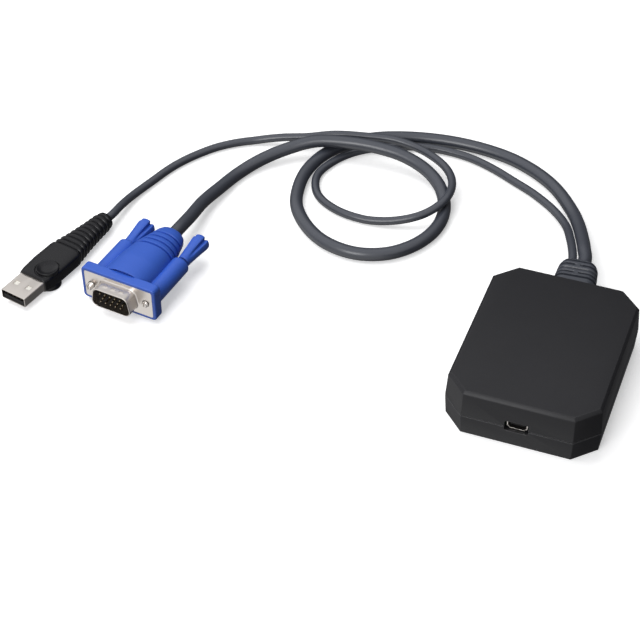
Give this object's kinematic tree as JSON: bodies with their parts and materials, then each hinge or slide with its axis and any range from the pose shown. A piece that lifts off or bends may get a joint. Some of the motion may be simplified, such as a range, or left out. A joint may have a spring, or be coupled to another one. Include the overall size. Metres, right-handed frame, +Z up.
{
  "type": "crash cart adapter",
  "caption": "Palm-sized adapter box with cut corners, a device socket at one end and fixed video and host leads from a ribbed boot at the other, for working on a server from a laptop.",
  "frame": {"origin": "on the table, under the middle of the case", "axes": "+Y runs from the case's socket wall to its boot wall, +Z points up, and +X points to the right for someone who faces the socket wall; both cords lie on the table to the -X side"},
  "size_m": [0.2424, 0.1687, 0.0202],
  "materials": {
    "case_plastic": "fine matte texture",
    "cord_jacket": "satin",
    "hood_plastic": "satin moulded",
    "grip_plastic": "satin moulded",
    "nickel_plate": "bright nickel plate",
    "contact_gold": "thin gold plate",
    "insulator_plastic": "matte",
    "screw_steel": "dark zinc",
    "board_laminate": "solder mask",
    "chip_plastic": "matte",
    "header_plastic": "natural"
  },
  "bodies": {
    "adapter": {"bottom_cover": "case_plastic", "top_cover": "case_plastic", "case_screws": "screw_steel", "circuit_board": "board_laminate", "video_processor": "chip_plastic", "memory_chip": "chip_plastic", "bridge_chip": "chip_plastic", "crystal": "nickel_plate", "capacitors": "nickel_plate", "video_header": "header_plastic", "host_header": "header_plastic", "video_lead": "cord_jacket", "host_lead": "cord_jacket", "socket_shell": "nickel_plate", "socket_tongue": "insulator_plastic", "socket_contacts": "contact_gold", "case_boot": "cord_jacket", "vga_cord": "cord_jacket", "usb_cord": "cord_jacket", "vga_hood": "hood_plastic", "vga_shell": "nickel_plate", "vga_insulator": "insulator_plastic", "vga_pins": "contact_gold", "usb_grip": "grip_plastic", "usb_shell": "nickel_plate", "usb_tongue": "insulator_plastic", "usb_contacts": "contact_gold"},
    "left_thumbscrew": {"left_screw": "nickel_plate", "left_knob": "hood_plastic"},
    "right_thumbscrew": {"right_screw": "nickel_plate", "right_knob": "hood_plastic"}
  },
  "joints": [
    {"name": "left_thumbscrew_turn", "type": "hinge", "parent": "adapter", "child": "left_thumbscrew", "pos_m": [-0.17889, -0.01837, 0.0089], "axis": [0.1305, 0.9914, 0], "continuous": true},
    {"name": "right_thumbscrew_turn", "type": "hinge", "parent": "adapter", "child": "right_thumbscrew", "pos_m": [-0.15411, -0.02163, 0.0089], "axis": [0.1305, 0.9914, 0], "continuous": true}
  ]
}
